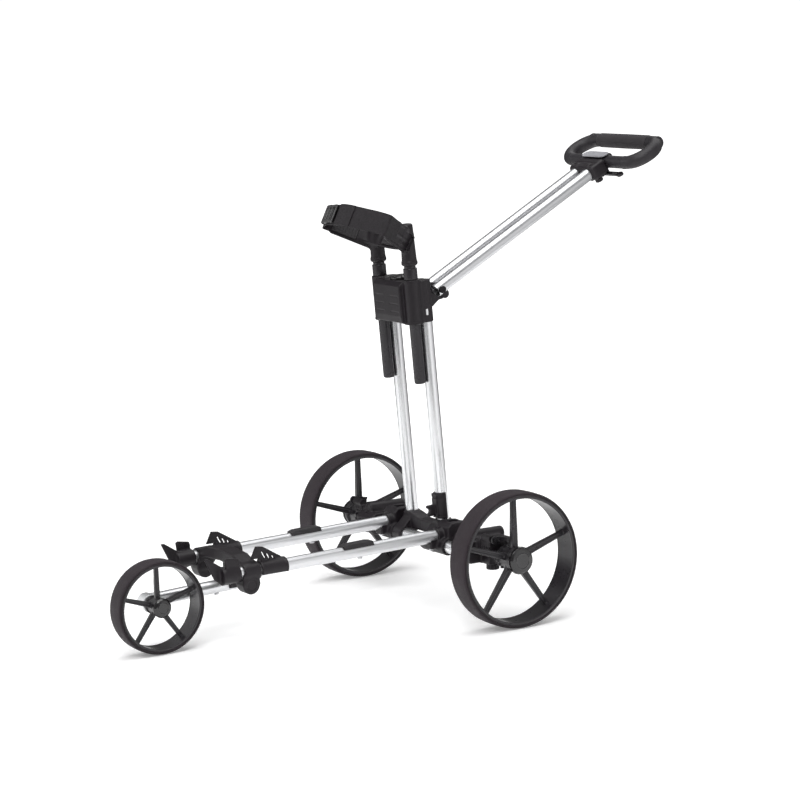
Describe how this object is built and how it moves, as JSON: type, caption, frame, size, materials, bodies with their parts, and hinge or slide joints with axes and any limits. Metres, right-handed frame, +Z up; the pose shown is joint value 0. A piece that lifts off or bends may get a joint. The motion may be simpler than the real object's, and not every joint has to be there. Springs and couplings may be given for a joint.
{
  "type": "golf push trolley",
  "caption": "Folding push trolley with tube frame, offset front wheel, spoked wheels, strapped bag cradle, wing-type bag foot and grip loop handle.",
  "frame": {"origin": "ground level under the middle of the trolley's overall box", "axes": "+X forwards to the front wheel, +Y to the trolley's left, +Z up"},
  "size_m": [1.3582, 0.6946, 0.9965],
  "materials": {
    "satin_tube": "satin anodised tube",
    "cast_alloy": "bead-blasted casting",
    "frame_plastic": "fine-grained glass-filled nylon",
    "wheel_plastic": "semi-gloss moulded nylon",
    "cap_gloss": "polished",
    "tyre_rubber": "smooth solid tyre",
    "soft_rubber": "soft matt rubber",
    "grip_foam": "closed-cell foam",
    "webbing": "woven strap",
    "console_grey": "satin grey",
    "steel": "zinc plated"
  },
  "bodies": {
    "base": {"left_bar": "satin_tube", "right_bar": "satin_tube", "left_bracket": "frame_plastic", "right_bracket": "frame_plastic", "hinge_tube": "satin_tube", "axle_tubes": "satin_tube", "left_housing": "frame_plastic", "right_housing": "frame_plastic", "rear_axles": "steel", "front_tube": "satin_tube", "front_fork": "cast_alloy", "front_axle": "steel", "bag_foot": "frame_plastic", "bumpers": "soft_rubber", "bar_screws": "steel"},
    "left_wheel": {"left_rim": "wheel_plastic", "left_tyre": "tyre_rubber", "left_cap": "cap_gloss", "left_bearings": "steel"},
    "right_wheel": {"right_rim": "wheel_plastic", "right_tyre": "tyre_rubber", "right_cap": "cap_gloss", "right_bearings": "steel"},
    "front_wheel": {"front_rim": "wheel_plastic", "front_tyre": "tyre_rubber", "front_cap": "cap_gloss", "front_bearings": "steel"},
    "left_pawl_arm": {"left_pawl": "frame_plastic"},
    "right_pawl_arm": {"right_pawl": "frame_plastic"},
    "left_brake_knob": {"left_knob": "frame_plastic"},
    "right_brake_knob": {"right_knob": "frame_plastic"},
    "front_wing_left": {"foot_front_left": "frame_plastic"},
    "front_wing_right": {"foot_front_right": "frame_plastic"},
    "rear_wing_left": {"foot_rear_left": "frame_plastic"},
    "rear_wing_right": {"foot_rear_right": "frame_plastic"},
    "mast": {"yoke": "frame_plastic", "left_upright": "satin_tube", "right_upright": "satin_tube", "frame_clip": "frame_plastic", "mid_bracket": "frame_plastic", "hinge_bolt": "steel"},
    "button": {"release_button": "frame_plastic"},
    "lock": {"lock_wheel": "frame_plastic"},
    "handle": {"left_handle_tube": "satin_tube", "right_handle_tube": "satin_tube", "handle_clamp": "frame_plastic", "console": "console_grey", "lever_pin": "steel"},
    "lever": {"clamp_lever": "frame_plastic"},
    "knob": {"clamp_knob": "frame_plastic"},
    "grip": {"grip_loop": "grip_foam", "grip_foam": "grip_foam", "grip_caps": "soft_rubber"},
    "bag_cradle": {"left_leg": "frame_plastic", "right_leg": "frame_plastic", "cradle": "frame_plastic", "cradle_pads": "soft_rubber", "strap": "webbing", "strap_buckle": "frame_plastic"}
  },
  "joints": [
    {"name": "left_wheel_spin", "type": "hinge", "parent": "base", "child": "left_wheel", "pos_m": [-0.1187, 0.3153, 0.145], "axis": [0, 1, 0], "continuous": true},
    {"name": "right_wheel_spin", "type": "hinge", "parent": "base", "child": "right_wheel", "pos_m": [-0.1187, -0.3153, 0.145], "axis": [0, 1, 0], "continuous": true},
    {"name": "front_wheel_spin", "type": "hinge", "parent": "base", "child": "front_wheel", "pos_m": [0.5813, 0.0426, 0.0978], "axis": [0, 1, 0], "continuous": true},
    {"name": "frame_fold", "type": "hinge", "parent": "base", "child": "mast", "pos_m": [-0.0747, 0, 0.146], "axis": [0, 1, 0], "range_deg": [0, 72]},
    {"name": "handle_fold", "type": "hinge", "parent": "mast", "child": "handle", "pos_m": [-0.1362, 0, 0.69], "axis": [0, 1, 0], "range_deg": [-110, 0]},
    {"name": "grip_tilt", "type": "hinge", "parent": "handle", "child": "grip", "pos_m": [-0.58947, 0, 0.9397], "axis": [0, 1, 0], "range_deg": [-68, 45]},
    {"name": "cradle_slide", "type": "slide", "parent": "mast", "child": "bag_cradle", "axis": [0.0708, 0, 0.9975], "range_m": [0, 0.06]},
    {"name": "clamp_lever_swing", "type": "hinge", "parent": "handle", "child": "lever", "pos_m": [-0.59234, 0.014, 0.9148], "axis": [-0.8759, 0, 0.4825], "range_deg": [0, 95]},
    {"name": "clamp_knob_turn", "type": "hinge", "parent": "handle", "child": "knob", "pos_m": [-0.56868, 0.027, 0.89971], "axis": [0.4825, 0, 0.8759], "range_deg": [-180, 180]},
    {"name": "lock_wheel_turn", "type": "hinge", "parent": "mast", "child": "lock", "pos_m": [-0.1637, 0, 0.676], "axis": [0, 1, 0], "range_deg": [-180, 180]},
    {"name": "release_press", "type": "slide", "parent": "mast", "child": "button", "axis": [-0.0708, 0, -0.9975], "range_m": [0, 0.004], "stiffness_N_per_m": 500, "springref_m": -0.002},
    {"name": "left_front_wing_fold", "type": "hinge", "parent": "base", "child": "front_wing_left", "pos_m": [0.43509, 0.1015, 0.15323], "axis": [-0.9996, 0, 0.0279], "range_deg": [0, 85]},
    {"name": "right_front_wing_fold", "type": "hinge", "parent": "base", "child": "front_wing_right", "pos_m": [0.43509, -0.1015, 0.15323], "axis": [0.9996, 0, -0.0279], "range_deg": [0, 85]},
    {"name": "left_rear_wing_fold", "type": "hinge", "parent": "base", "child": "rear_wing_left", "pos_m": [0.34312, 0.1015, 0.1558], "axis": [-0.9996, 0, 0.0279], "range_deg": [0, 85]},
    {"name": "right_rear_wing_fold", "type": "hinge", "parent": "base", "child": "rear_wing_right", "pos_m": [0.34312, -0.1015, 0.1558], "axis": [0.9996, 0, -0.0279], "range_deg": [0, 85]},
    {"name": "left_brake_turn", "type": "hinge", "parent": "base", "child": "left_brake_knob", "pos_m": [-0.1147, 0.24, 0.117], "axis": [0, 0, 1], "range_deg": [0, 90]},
    {"name": "right_brake_turn", "type": "hinge", "parent": "base", "child": "right_brake_knob", "pos_m": [-0.1147, -0.24, 0.117], "axis": [0, 0, 1], "range_deg": [0, 90]},
    {"name": "left_pawl_swing", "type": "hinge", "parent": "base", "child": "left_pawl_arm", "pos_m": [-0.0887, 0.2885, 0.1845], "axis": [0, -1, 0], "range_deg": [0, 7]},
    {"name": "right_pawl_swing", "type": "hinge", "parent": "base", "child": "right_pawl_arm", "pos_m": [-0.0887, -0.2885, 0.1845], "axis": [0, -1, 0], "range_deg": [0, 7]}
  ],
  "couplings": [
    {"joint": "left_pawl_swing", "follows": "left_brake_turn", "ratio": 0.0777},
    {"joint": "right_pawl_swing", "follows": "right_brake_turn", "ratio": 0.0777}
  ]
}
